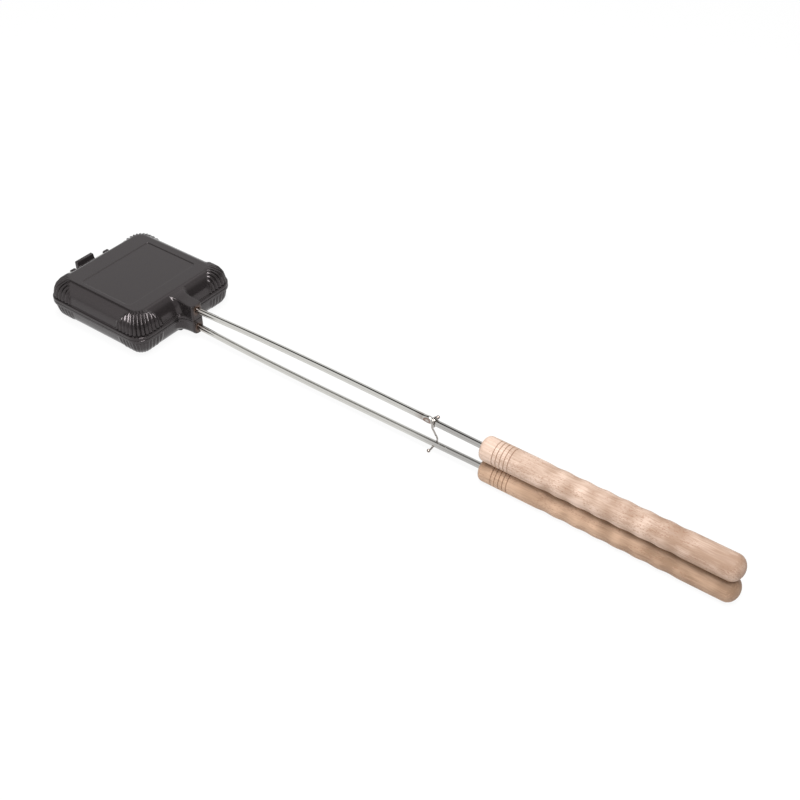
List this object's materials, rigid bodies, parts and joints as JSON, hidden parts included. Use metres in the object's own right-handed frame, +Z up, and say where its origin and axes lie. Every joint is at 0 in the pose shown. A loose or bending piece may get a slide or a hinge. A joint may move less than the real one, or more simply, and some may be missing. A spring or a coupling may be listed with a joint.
{
  "type": "sandwich iron",
  "caption": "Long-handled campfire sandwich iron: hinged square cast iron shells with ribbed corners, steel rods, turned wooden handles and a swinging wire latch.",
  "frame": {"origin": "centre of the lower shell's flat underside, on which the closed iron lies", "axes": "+X along the rods towards the handles, +Y across, +Z up through both shells"},
  "size_m": [0.7228, 0.13, 0.0457],
  "materials": {
    "cast_iron": "black, fine cast texture, semi-gloss",
    "steel": "bright drawn steel",
    "latch_steel": "bright bent wire",
    "beech": "turned beech, oiled matt"
  },
  "bodies": {
    "lower": {"lower_shell": "cast_iron", "lower_rod": "steel", "lower_handle": "beech", "hinge_pin": "steel"},
    "upper": {"upper_shell": "cast_iron", "upper_rod": "steel", "upper_handle": "beech"},
    "latch": {"latch_wire": "latch_steel"}
  },
  "joints": [
    {"name": "head_hinge", "type": "hinge", "parent": "lower", "child": "upper", "pos_m": [-0.073, 0, 0.02625], "axis": [0, -1, 0], "range_deg": [0, 180]},
    {"name": "latch_swing", "type": "hinge", "parent": "upper", "child": "latch", "pos_m": [0.3586, 0, 0.03491], "axis": [1, 0, 0], "range_deg": [0, 335]}
  ]
}
